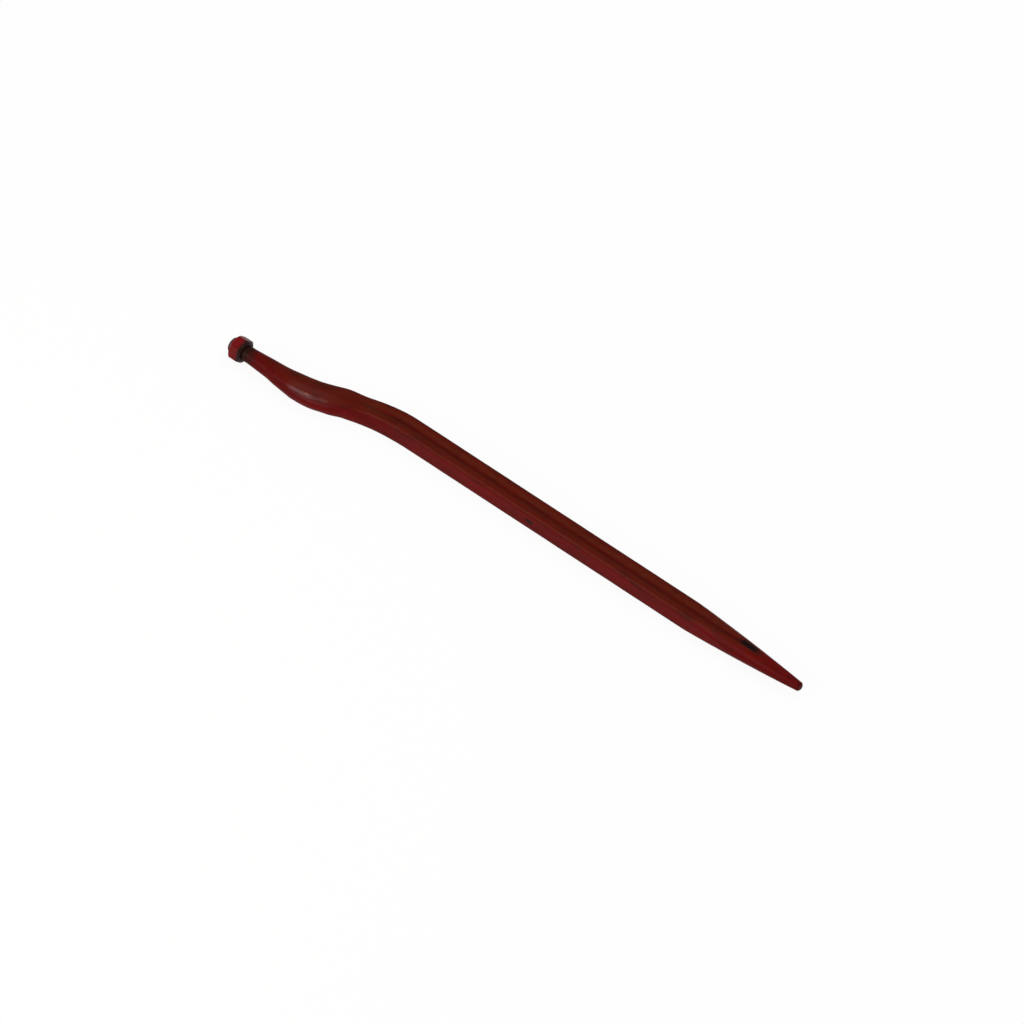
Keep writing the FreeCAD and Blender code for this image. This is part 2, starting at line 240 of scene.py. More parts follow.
@dataclass(frozen=True)
class BarSizes:
    """Sizes of the rolled bar, its groove and its point, in millimetres."""

    length: float = 1250.0
    side: float = 42.0
    corner: float = 7.0
    groove_half: float = 10.5
    groove_depth: float = 5.0
    groove_floor: float = 1.35
    point_start: float = 991.0
    point_entry: float = 27.099
    point_curve: float = 4770.0
    tip_radius: float = 8.5
    tip_bevel: float = 2.7

    def wall_slope(self) -> float:
        """Fall of the groove's wall for each millimetre across."""
        return self.groove_depth / (self.groove_half - self.groove_floor)

    def groove_at(self, across: float) -> float:
        """Depth of the groove at a distance from its middle, with eased lips and floor."""
        across = abs(across)
        slope = self.wall_slope()
        lip, bed = 1.7, 0.9
        if across > self.groove_half + lip:
            return 0.0
        if across > self.groove_half - lip:
            return slope * (self.groove_half + lip - across) ** 2 / (4 * lip)
        if across > self.groove_floor + bed:
            return slope * (self.groove_half - across)
        if across > self.groove_floor - bed:
            rest = across - (self.groove_floor - bed)
            return self.groove_depth - slope * rest ** 2 / (4 * bed)
        return self.groove_depth

    def point_radius(self, x: float) -> float:
        """Radius of the turned point at a distance from the threaded end."""
        shoulder = self.length - self.tip_bevel
        if x >= shoulder:
            return self.tip_radius - (x - shoulder)
        run = shoulder - self.point_start
        fall = self.tip_radius - self.point_entry
        chord = math.hypot(run, fall)
        drop = math.sqrt(self.point_curve ** 2 - (chord / 2) ** 2)
        centre_x = (self.point_start + shoulder) / 2 + fall / chord * drop
        centre_r = (self.point_entry + self.tip_radius) / 2 - run / chord * drop
        return centre_r + math.sqrt(self.point_curve ** 2 - (x - centre_x) ** 2)


@dataclass(frozen=True)
class NeckSizes:
    """Sizes of the threaded end, the neck and the crank, in millimetres."""

    thread_radius: float = 14.0
    thread_core: float = 13.05
    thread_pitch: float = 1.5
    thread_chamfer: float = 1.5
    thread_seen: float = 9.0
    nut_front: float = 31.0
    neck_radius: float = 14.3
    neck_straight: float = 12.0
    cone_end: float = 107.0
    cone_radius: float = 18.4
    flare_end: float = 146.867
    lift: float = 2.2647
    offset: float = 48.4
    angle: float = 19.1
    neck_bend: float = 137.5
    run: float = 66.91
    bar_bend: float = 344.0
    crank_half: float = 20.5
    soften: float = 0.36
    bend_soften: float = 0.76
    sharpen: float = 85.0
    swell_across: float = 5.0
    swell_up: float = 2.6
    swell_from: float = 84.0
    swell_rises: float = 104.0
    swell_full: float = 178.0
    swell_fades: float = 230.0
    swell_end: float = 282.0
    flare_front: float = 2.2
    bend_front: float = 2.1


@dataclass
class Tine:
    """The forging: threaded end, cone, crank, grooved bar and long point, in one piece."""

    bar: BarSizes = field(default_factory=BarSizes)
    neck: NeckSizes = field(default_factory=NeckSizes)
    corner_steps: int = 8
    name: str = "tine_forging"

    def bend_one(self) -> float:
        """Length of the bend by the neck along its centreline."""
        return self.neck.neck_bend * math.radians(self.neck.angle)

    def bend_two(self) -> float:
        """Length of the bend by the bar along its centreline."""
        return self.neck.bar_bend * math.radians(self.neck.angle)

    def crank_end(self) -> float:
        """Where the straight bar starts, along the centreline."""
        return self.neck.flare_end + self.bend_one() + self.neck.run + self.bend_two()

    def gain(self) -> float:
        """How much longer the centreline is than the finished forging."""
        return self.crank_end() - 367.6454

    def total(self) -> float:
        """Length of the centreline from end to end."""
        return self.bar.length + self.gain()

    def columns(self) -> List[float]:
        """Lines across the grooved face, from the middle outwards, in millimetres."""
        return [0.0, 0.9, 1.7, 2.6, 4.0, 5.5, 7.0, 8.4, 9.3, 10.2, 11.1, 12.3]

    def stations(self) -> List[Tuple[float, float, int]]:
        """Stretches of the centreline, each as its start, its end and its number of parts."""
        gain = self.gain()
        end = self.crank_end()
        point = self.bar.point_start + gain
        total = self.total()
        shoulder = total - self.bar.tip_bevel
        neck = self.neck
        return [
            (7.0, neck.nut_front, 4),
            (neck.nut_front, neck.nut_front + neck.neck_straight, 6),
            (neck.nut_front + neck.neck_straight, neck.cone_end, 18),
            (neck.cone_end, neck.flare_end, 16),
            (neck.flare_end, end, 84),
            (end, point - 14.0, 122),
            (point - 14.0, shoulder - 12.0, 96),
            (shoulder - 12.0, shoulder, 10),
            (shoulder, total, 3),
        ]

    def build(self) -> bpy.types.Object:
        """Model the forging straight, then bend it and set it down on its bar.

        Returns:
            The finished mesh object.
        """
        piece = self.roll_bar()
        self.cut_lengths(piece)
        self.shape_sections(piece)
        self.close_ends(piece)
        self.mark_places(piece)
        self.roughen(piece)
        self.lift_neck(piece)
        self.bend(piece)
        self.finish(piece)
        return piece

    def roll_bar(self) -> bpy.types.Object:
        """A square bar with round corners, open at both ends, scored for its groove."""
        total = self.total() * MM
        side = self.bar.side * MM
        start = 7.0 * MM
        clear_selection()
        bpy.ops.mesh.primitive_cube_add(size=1)
        piece = bpy.context.object
        piece.name = self.name
        vice = Vice(piece)
        bpy.ops.mesh.select_all(action="SELECT")
        bpy.ops.transform.resize(value=(total - start, side, side))
        shift_picked(((total + start) / 2, 0, 0))
        vice.pick_edges(lambda e: abs((e.verts[0].co - e.verts[1].co).x) > 0.5)
        bpy.ops.mesh.bevel(offset=self.bar.corner * MM, segments=self.corner_steps,
                           profile=0.5, affect="EDGES")
        vice.pick_faces(lambda f: abs(f.normal.x) > 0.9)
        bpy.ops.mesh.delete(type="FACE")
        for column in self.columns():
            for sign in (1, -1) if column else (1,):
                vice.saw((0, sign * column * MM, 0), Axis.ACROSS.value)
        for level in (-10.5, -7.0, -3.5, 0.0, 3.5, 7.0, 10.5):
            vice.saw((0, 0, level * MM), Axis.UP.value)
        return vice.release()

    def cut_lengths(self, piece: bpy.types.Object) -> None:
        """Divide the bar along its length, finer where its section changes."""
        vice = Vice(piece)
        for start, _, _ in self.stations()[1:]:
            vice.saw((start * MM, 0, 0), Axis.ALONG.value)
        for start, end, parts in self.stations():
            low, high = start * MM - 1e-6, end * MM + 1e-6

            def lies_here(edge: bmesh.types.BMEdge) -> bool:
                a, b = edge.verts[0].co.x, edge.verts[1].co.x
                return abs(a - b) > 1e-5 and min(a, b) > low and max(a, b) < high

            vice.pick_edges(lies_here)
            bpy.ops.mesh.subdivide(number_cuts=parts - 1, quadcorner="STRAIGHT_CUT")
        vice.release()

    def half_at(self, s: float) -> Tuple[float, float]:
        """Half width and roundness of the forging's section at a place on its centreline.

        Args:
            s: millimetres from the threaded end.

        Returns:
            Half the width across the flats, and a roundness from 0, the bar's own
            corners, to 1, a circle.
        """
        neck = self.neck
        if s <= neck.nut_front + 0.001:
            return (neck.thread_radius - 0.05 if s < neck.nut_front - 0.01
                    else neck.neck_radius), 1.0
        if s <= neck.nut_front + neck.neck_straight:
            return neck.neck_radius, 1.0
        if s <= neck.cone_end:
            share = (s - neck.nut_front - neck.neck_straight) / (
                neck.cone_end - neck.nut_front - neck.neck_straight)
            return neck.neck_radius + share * (neck.cone_radius - neck.neck_radius), 1.0
        if s <= neck.flare_end:
            share = (s - neck.cone_end) / (neck.flare_end - neck.cone_end)
            half = neck.cone_radius + share * (neck.crank_half - neck.cone_radius)
            return half, 1.0 + share * (neck.bend_soften - 1.0)
        soft_end = self.crank_end() - self.bend_two()
        if s <= soft_end:
            share = smooth_step(neck.flare_end + self.bend_one(), soft_end, s)
            return neck.crank_half, neck.bend_soften + share * (neck.soften - neck.bend_soften)
        share = min(1.0, (s - soft_end) / neck.sharpen)
        half = neck.crank_half + share * (self.bar.side / 2 - neck.crank_half)
        return half, neck.soften * (1 - share)

    def groove_share(self, s: float) -> float:
        """How far the groove has sunk in at a place on the centreline, in millimetres."""
        start = self.crank_end() - self.bend_two()
        share = min(1.0, max(0.0, (s - start) / 39.0))
        return (self.bar.groove_depth + 0.2) * (1 - share)

    def shape_sections(self, piece: bpy.types.Object) -> None:
        """Press the groove, round the neck and the crank, and turn the point down."""
        vice = Vice(piece)
        rings = vice.rings()
        groove_from = self.crank_end() - self.bend_two()
        face = self.bar.side / 2
        for station in sorted(rings):
            ring = rings[station]
            s = station / 100.0
            if s > groove_from:
                self.press_groove(vice, ring, self.groove_share(s), face)
            half, roundness = self.half_at(s)
            if roundness > 0.001 or abs(half - face) > 1e-4:
                self.round_ring(vice, ring, half, roundness)
            if self.neck.swell_from < s < self.neck.swell_end:
                self.swell_ring(vice, ring, s, half)
            x = s - self.gain()
            if x > self.bar.point_start:
                self.turn_ring(vice, ring, self.bar.point_radius(x))
        vice.release()

    def press_groove(self, vice: Vice, ring: List[bmesh.types.BMVert], lifted: float,
                     face: float) -> None:
        """Sink the groove of the upper and of the lower face at one station.

        Args:
            vice: the piece being edited.
            ring: the vertices of the station.
            lifted: how far the tool still stands off its full depth, in millimetres.
            face: half the bar's side, in millimetres.
        """
        for column in self.columns():
            depth = self.bar.groove_at(column) - lifted
            if depth <= 0.0:
                continue
            line = [v for v in ring
                    if abs(abs(v.co.y) - column * MM) < 2e-5 and abs(v.co.z) > (face - 0.1) * MM]
            vice.pick(line)
            scale_picked((1, 1, (face - depth) / face), (ring[0].co.x, 0, 0))

    def round_ring(self, vice: Vice, ring: List[bmesh.types.BMVert], half: float,
                   roundness: float) -> None:
        """Draw one station's section towards a circle and bring it to its width."""
        vice.pick(ring)
        if roundness > 0.001:
            bpy.ops.transform.tosphere(value=roundness)
        flat = max(abs(v.co.y) for v in ring if abs(v.co.z) < 2e-4)
        factor = half * MM / flat
        scale_picked((1, factor, factor), (ring[0].co.x, 0, 0))

    def swell_ring(self, vice: Vice, ring: List[bmesh.types.BMVert], s: float,
                   half: float) -> None:
        """Gather the metal on the inside of the first bend, where the smith closed it."""
        neck = self.neck
        share = smooth_step(neck.swell_rises, neck.swell_full, s) * (
            1 - smooth_step(neck.swell_fades, neck.swell_end, s))
        front = neck.flare_front * smooth_step(neck.swell_from, 112.0, s)
        front += neck.bend_front * smooth_step(150.0, 190.0, s)
        front *= 1 - smooth_step(212.0, 242.0, s)
        x = ring[0].co.x
        vice.pick(ring)
        scale_picked((1, 1 + share * neck.swell_across / (2 * half),
                      1 + share * neck.swell_up / (2 * half)), (x, -half * MM, -half * MM))
        scale_picked((1, 1 + front / (2 * half), 1), (x, half * MM, 0))

    def turn_ring(self, vice: Vice, ring: List[bmesh.types.BMVert], radius: float) -> None:
        """Bring what stands outside the point's turned surface down to it."""
        proud = [v for v in ring if math.hypot(v.co.y, v.co.z) > radius * MM + 1e-7]
        if len(proud) < 4:
            return
        vice.pick(proud)
        bpy.ops.transform.tosphere(value=1.0)
        factor = radius * MM / mean_radius(proud)
        scale_picked((1, factor, factor), (ring[0].co.x, 0, 0))

    def close_ends(self, piece: bpy.types.Object) -> None:
        """Close both ends with flat faces that step inwards."""
        vice = Vice(piece)
        start, end = 7.0 * MM, self.total() * MM
        for place, steps in ((end, ((0.86, 0.15), (0.6, 0.2), (0.3, 0.1))),
                             (start, ((0.5, 0.0),))):
            vice.pick_where(lambda co: abs(co.x - place) < 1e-5)
            for factor, out in steps:
                bpy.ops.mesh.extrude_region_move(
                    TRANSFORM_OT_translate={"value": (0, 0, 0)})
                scale_picked((1, factor, factor), (place, 0, 0))
            bpy.ops.mesh.merge(type="CENTER")
        bpy.ops.mesh.select_all(action="SELECT")
        bpy.ops.mesh.normals_make_consistent(inside=False)
        vice.release()

    def mark_places(self, piece: bpy.types.Object) -> None:
        """Keep each point's place on the straight bar, so that wear, dirt and painted shade can follow
        the forging.
        """
        count = len(piece.data.vertices)
        co = np.zeros(count * 3, np.float32)
        piece.data.vertices.foreach_get("co", co)
        places = piece.data.attributes.new("forge_place", "FLOAT_VECTOR", "POINT")
        places.data.foreach_set("vector", co)
        s, y, z = co.reshape(-1, 3).T / MM
        half = self.bar.side / 2
        on_groove = (s > self.crank_end() - self.bend_two() + 10) & (np.abs(y) < 12.4)
        depth = np.where(on_groove, (half - np.abs(z)) / self.bar.groove_depth, 0.0)
        reach = np.hypot(y, z)
        limit = np.array([self.bar.point_radius(max(v - self.gain(), self.bar.point_start))
                          for v in s])
        turned = (s - self.gain() > self.bar.point_start) & (reach > limit - 0.05)
        depth = np.where(turned, 0.0, depth)
        crease = piece.data.attributes.new("groove_depth", "FLOAT", "POINT")
        crease.data.foreach_set("value", np.clip(depth, 0, 1).astype(np.float32))
        corner = np.clip((np.minimum(np.abs(y), np.abs(z)) - 13.2) / 3.0, 0, 1)
        crank_bend = self.neck.flare_end + self.bend_one()
        corner = corner * np.clip((s - crank_bend - 40.0) / 80.0, 0, 1)
        corner = np.where(turned, 0.0, corner)
        rim = piece.data.attributes.new("corner_line", "FLOAT", "POINT")
        rim.data.foreach_set("value", corner.astype(np.float32))
        cut = piece.data.attributes.new("turned", "FLOAT", "POINT")
        cut.data.foreach_set("value", turned.astype(np.float32))

    def roughen(self, piece: bpy.types.Object) -> None:
        """Give the forging the slight unevenness of hammered and rolled steel."""
        cloud = bpy.data.textures.new("forge_swell", "CLOUDS")
        cloud.noise_scale = 0.055
        cloud.noise_depth = 2
        fit_modifier(piece, "DISPLACE", "forge_swell", texture=cloud, strength=0.35 * MM,
                     mid_level=0.62, texture_coords="LOCAL", direction="NORMAL")

    def lift_neck(self, piece: bpy.types.Object) -> None:
        """Raise the neck a little above the bar's axis, easing back along the flare."""
        vice = Vice(piece)
        neck = self.neck
        vice.pick_where(lambda co: co.x < neck.cone_end * MM + 1e-5)
        shift_picked((0, 0, neck.lift * MM))
        steps = 16
        pitch = (neck.flare_end - neck.cone_end) / steps
        for step in range(1, steps):
            place = (neck.cone_end + step * pitch) * MM
            vice.pick_where(lambda co: abs(co.x - place) < pitch * 0.45 * MM)
            shift_picked((0, 0, neck.lift * MM * (1 - step / steps)))
        vice.release()

    def centreline(self) -> List[Vector]:
        """Points of the bent centreline, in metres, from the threaded end."""
        points = [Vector((0, 0, 0))]
        heading = 0.0
        angle = math.radians(self.neck.angle)
        runs = ((self.neck.flare_end, 0.0), (self.bend_one(), angle), (self.neck.run, 0.0),
                (self.bend_two(), -angle), (self.total() - self.crank_end(), 0.0))
        for length, turn in runs:
            parts = max(2, round(length / 2.5))
            step = length / parts * MM
            for _ in range(parts):
                middle = heading + turn / parts / 2
                chord = step * (math.sin(turn / parts / 2) / (turn / parts / 2) if turn else 1.0)
                points.append(points[-1] + Vector((math.cos(middle), math.sin(middle), 0)) * chord)
                heading += turn / parts
        return points

    def bend(self, piece: bpy.types.Object) -> None:
        """Bend the straight forging round its crank, along its centreline."""
        curve = bpy.data.curves.new("crank_line", "CURVE")
        curve.dimensions = "3D"
        curve.twist_mode = "Z_UP"
        points = self.centreline()
        spline = curve.splines.new("POLY")
        spline.points.add(len(points) - 1)
        for target, place in zip(spline.points, points):
            target.co = (place.x, place.y, place.z, 1)
        former = bpy.data.objects.new("crank_former", curve)
        bpy.context.scene.collection.objects.link(former)
        fit_modifier(piece, "CURVE", "crank", object=former, deform_axis="POS_X")
        bpy.data.objects.remove(former)

    def finish(self, piece: bpy.types.Object) -> None:
        """Set the forging down where the solid lies and smooth its shading."""
        low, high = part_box("tine")
        vice = Vice(piece)
        bpy.ops.mesh.select_all(action="SELECT")
        shift_picked((low.x, high.y - (self.neck.offset + self.bar.side / 2) * MM,
                      self.bar.side / 2 * MM))
        vice.release()
        hold(piece)
        bpy.ops.object.shade_smooth_by_angle(angle=math.radians(38))


@dataclass
class StubThread:
    """The end of the thread that stands out behind the nut."""

    neck: NeckSizes = field(default_factory=NeckSizes)
    around: int = 72
    slices_per_pitch: int = 8
    name: str = "stub_thread"

    def radius_at(self, x: float, turn: float) -> float:
        """Radius of the thread at a place along it and a share of a turn round it."""
        neck = self.neck
        phase = (x / neck.thread_pitch - turn) % 1.0
        ridge = min(1.0, max(0.0, 1.25 - abs(phase - 0.5) * 2.9))
        radius = neck.thread_core + (neck.thread_radius - neck.thread_core) * ridge
        chamfer = neck.thread_radius - neck.thread_chamfer + x
        return min(radius, chamfer)

    def build(self) -> bpy.types.Object:
        """Turn the stub from a cylinder and cut its thread.

        Returns:
            The finished mesh object.
        """
        neck = self.neck
        low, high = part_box("tine")
        centre_y = high.y - (neck.offset + BarSizes().side / 2 + 0.0) * MM
        centre_z = BarSizes().side / 2 * MM + neck.lift * MM
        clear_selection()
        bpy.ops.mesh.primitive_cylinder_add(vertices=self.around, radius=neck.thread_radius * MM,
                                            depth=neck.thread_seen * MM,
                                            rotation=(0, math.pi / 2, 0))
        piece = bpy.context.object
        piece.name = self.name
        bpy.ops.object.transform_apply(location=True, rotation=True, scale=True)
        vice = Vice(piece)
        bpy.ops.mesh.select_all(action="SELECT")
        shift_picked((neck.thread_seen * MM / 2, 0, 0))
        vice.pick_faces(lambda f: abs(f.normal.x) > 0.9)
        for share in (0.985, 0.6):
            bpy.ops.mesh.inset(thickness=0.0)
            bpy.ops.transform.resize(value=(1, share, share), center_override=(0, 0, 0))
        vice.pick_edges(lambda e: abs(e.verts[0].co.x - e.verts[1].co.x) > 1 * MM)
        cuts = round(neck.thread_seen / neck.thread_pitch * self.slices_per_pitch) - 1
        bpy.ops.mesh.subdivide(number_cuts=cuts)
        vice.refresh()
        for vertex in vice.mesh.verts:
            reach = math.hypot(vertex.co.y, vertex.co.z) / MM
            x = vertex.co.x / MM
            if reach < 13.9:
                if x < 0.01:
                    vertex.co.y *= 12.3 / 13.8 if reach > 13 else 1.0
                    vertex.co.z *= 12.3 / 13.8 if reach > 13 else 1.0
                continue
            turn = math.atan2(vertex.co.z, vertex.co.y) / (2 * math.pi)
            factor = self.radius_at(x, turn) / reach
            vertex.co.y *= factor
            vertex.co.z *= factor
        bpy.ops.mesh.select_all(action="SELECT")
        shift_picked((low.x, centre_y, centre_z))
        bpy.ops.mesh.normals_make_consistent(inside=False)
        vice.release()
        hold(piece)
        bpy.ops.object.shade_smooth_by_angle(angle=math.radians(50))
        return piece


# --------------------------------------------------------------------- the nut


@dataclass
class HexNut:
    """The hexagon nut on the threaded end, its corners turned back at both faces."""

    flats: float = 41.0
    height: float = 25.0
    bore: float = 14.0
    mouth: float = 1.2
    seat: float = 18.3
    bevel: float = 4.5
    turn: float = 15.0
    soften: float = 0.9
    name: str = "hex_nut"

    def build(self) -> bpy.types.Object:
        """Model the nut from a hexagonal blank and a turned blank.

        Returns:
            The finished mesh object.
        """
        blank = self.hexagon_blank()
        turned = self.turned_blank()
        fit_modifier(blank, "BOOLEAN", "turned_corners", object=turned, operation="INTERSECT",
                     solver="EXACT")
        bpy.data.objects.remove(turned)
        self.soften_edges(blank)
        bore = self.bore_cutter()
        fit_modifier(blank, "BOOLEAN", "bore", object=bore, operation="DIFFERENCE",
                     solver="EXACT")
        bpy.data.objects.remove(bore)
        self.place(blank)
        return blank

    def hexagon_blank(self) -> bpy.types.Object:
        """A hexagonal prism along X, with its faces divided."""
        clear_selection()
        bpy.ops.mesh.primitive_cylinder_add(
            vertices=6, radius=self.flats / math.sqrt(3) * MM, depth=self.height * MM,
            rotation=(0, math.pi / 2, 0))
        piece = bpy.context.object
        piece.name = self.name
        bpy.ops.object.transform_apply(location=True, rotation=True, scale=True)
        vice = Vice(piece)
        vice.pick_edges(lambda e: abs(e.verts[0].co.x - e.verts[1].co.x) > 10 * MM)
        bpy.ops.mesh.bevel(offset=0.8 * MM, segments=4, profile=0.5, affect="EDGES")
        return vice.release()

    def turned_blank(self) -> bpy.types.Object:
        """A round blank with a cone at each end, that cuts the hexagon's corners back."""
        clear_selection()
        reach = self.flats / math.sqrt(3) + 0.1
        bpy.ops.mesh.primitive_cylinder_add(
            vertices=128, radius=reach * MM, depth=(self.height - 2 * self.bevel) * MM,
            rotation=(0, math.pi / 2, 0))
        piece = bpy.context.object
        piece.name = "nut_turned_blank"
        bpy.ops.object.transform_apply(location=True, rotation=True, scale=True)
        vice = Vice(piece)
        for sign in (-1, 1):
            vice.pick_faces(lambda f: f.normal.x * sign > 0.9)
            bpy.ops.mesh.extrude_region_move(
                TRANSFORM_OT_translate={"value": (sign * self.bevel * MM, 0, 0)})
            share = self.seat / reach
            bpy.ops.transform.resize(value=(1, share, share), center_override=(0, 0, 0))
        return vice.release()

    def bore_cutter(self) -> bpy.types.Object:
        """A round cutter for the hole, wider at both mouths."""
        clear_selection()
        bpy.ops.mesh.primitive_cylinder_add(
            vertices=96, radius=self.bore * MM, depth=(self.height - 2 * self.mouth) * MM,
            rotation=(0, math.pi / 2, 0))
        piece = bpy.context.object
        piece.name = "nut_bore_cutter"
        bpy.ops.object.transform_apply(location=True, rotation=True, scale=True)
        vice = Vice(piece)
        for sign in (-1, 1):
            vice.pick_faces(lambda f: f.normal.x * sign > 0.9)
            out = (self.mouth + 1.0) * MM
            bpy.ops.mesh.extrude_region_move(
                TRANSFORM_OT_translate={"value": (sign * out, 0, 0)})
            share = (self.bore + self.mouth + 1.0) / self.bore
            bpy.ops.transform.resize(value=(1, share, share), center_override=(0, 0, 0))
        return vice.release()

    def soften_edges(self, piece: bpy.types.Object) -> None:
        """Break the sharp edges that the cutting left."""
        fit_modifier(piece, "BEVEL", "broken_edges", width=self.soften * MM, segments=3,
                     limit_method="ANGLE", angle_limit=math.radians(24), profile=0.6)

    def place(self, piece: bpy.types.Object) -> None:
        """Turn the nut as it sits and put it on the threaded end."""
        low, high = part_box("nut")
        tine_low, tine_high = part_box("tine")
        centre_y = tine_high.y - (NeckSizes().offset + BarSizes().side / 2) * MM
        centre_z = (BarSizes().side / 2 + NeckSizes().lift) * MM
        vice = Vice(piece)
        bpy.ops.mesh.select_all(action="SELECT")
        bpy.ops.mesh.remove_doubles(threshold=1e-6)
        vice.refresh()
        corner = max(vice.mesh.verts, key=lambda v: math.hypot(v.co.y, v.co.z))
        now = math.degrees(math.atan2(corner.co.z, corner.co.y))
        wanted = math.radians((self.turn - now) % 60.0)
        bmesh.ops.rotate(vice.mesh, verts=vice.mesh.verts, cent=(0, 0, 0),
                         matrix=Matrix.Rotation(wanted, 4, "X"))
        shift_picked(((low.x + high.x) / 2, centre_y, centre_z))
        bpy.ops.mesh.normals_make_consistent(inside=False)
        vice.release()
        hold(piece)
        bpy.ops.object.shade_smooth_by_angle(angle=math.radians(30))


# ------------------------------------------------------------------- finishes


class Wiring:
    """Places nodes in one tree and joins them, left to right."""

    def __init__(self, tree: bpy.types.NodeTree) -> None:
        """Take up a node tree."""
        self.tree = tree
        self.placed = 0

    def node(self, kind: str, **settings: object) -> bpy.types.Node:
        """Add a node with its settings."""
        node = self.tree.nodes.new(kind)
        node.location = (220 * (self.placed % 12), -260 * (self.placed // 12))
        self.placed += 1
        for key, value in settings.items():
            setattr(node, key, value)
        return node

    def feed(self, socket: bpy.types.NodeSocket, source: object) -> None:
        """Join a socket to another one, or give it a plain value."""
        if isinstance(source, bpy.types.NodeSocket):
            self.tree.links.new(source, socket)
        elif source is not None:
            if isinstance(source, tuple) and len(source) == 3 and socket.type == "RGBA":
                source = source + (1.0,)
            socket.default_value = source

    def maths(self, operation: str, a: object, b: object = None, clamp: bool = False
              ) -> bpy.types.NodeSocket:
        """One step of arithmetic on values."""
        node = self.node("ShaderNodeMath", operation=operation, use_clamp=clamp)
        self.feed(node.inputs[0], a)
        self.feed(node.inputs[1], b)
        return node.outputs[0]

    def ease(self, value: object, low: float, high: float, to_low: float = 0.0,
             to_high: float = 1.0) -> bpy.types.NodeSocket:
        """Ease a value from one range into another, held at both ends."""
        node = self.node("ShaderNodeMapRange", interpolation_type="SMOOTHSTEP")
        for socket, source in zip(node.inputs, (value, low, high, to_low, to_high)):
            self.feed(socket, source)
        return node.outputs[0]

    def blend(self, share: object, a: object, b: object, kind: str = "MIX"
              ) -> bpy.types.NodeSocket:
        """Lay one colour over another by a share."""
        node = self.node("ShaderNodeMix", data_type="RGBA", blend_type=kind)
        self.feed(node.inputs[0], share)
        self.feed(node.inputs[6], a)
        self.feed(node.inputs[7], b)
        return node.outputs[2]

    def noise(self, place: object, scale: float, detail: float = 3.0, rough: float = 0.55
              ) -> bpy.types.NodeSocket:
        """Cloudy values about one half."""
        node = self.node("ShaderNodeTexNoise")
        self.feed(node.inputs["Vector"], place)
        self.feed(node.inputs["Scale"], scale)
        self.feed(node.inputs["Detail"], detail)
        self.feed(node.inputs["Roughness"], rough)
        return node.outputs["Fac"]

    def place(self, name: str = "forge_place") -> bpy.types.NodeSocket:
        """The piece's own stored place of each point."""
        return self.node("ShaderNodeAttribute", attribute_name=name).outputs["Vector"]

    def stored(self, name: str) -> bpy.types.NodeSocket:
        """A value stored on the piece's points."""
        return self.node("ShaderNodeAttribute", attribute_name=name).outputs["Fac"]

    def stretched(self, place: object, scale: Point, start: Point = (0, 0, 0)
                  ) -> bpy.types.NodeSocket:
        """Place with its directions scaled, to draw a pattern out along the bar."""
        node = self.node("ShaderNodeMapping")
        self.feed(node.inputs["Vector"], place)
        self.feed(node.inputs["Location"], start)
        self.feed(node.inputs["Scale"], scale)
        return node.outputs[0]

    def group(self, tree: bpy.types.NodeTree, **inputs: object) -> bpy.types.Node:
        """Place a shared effect and feed its named inputs."""
        node = self.node("ShaderNodeGroup", node_tree=tree)
        for name, source in inputs.items():
            self.feed(node.inputs[name.replace("_", " ").capitalize()], source)
        return node


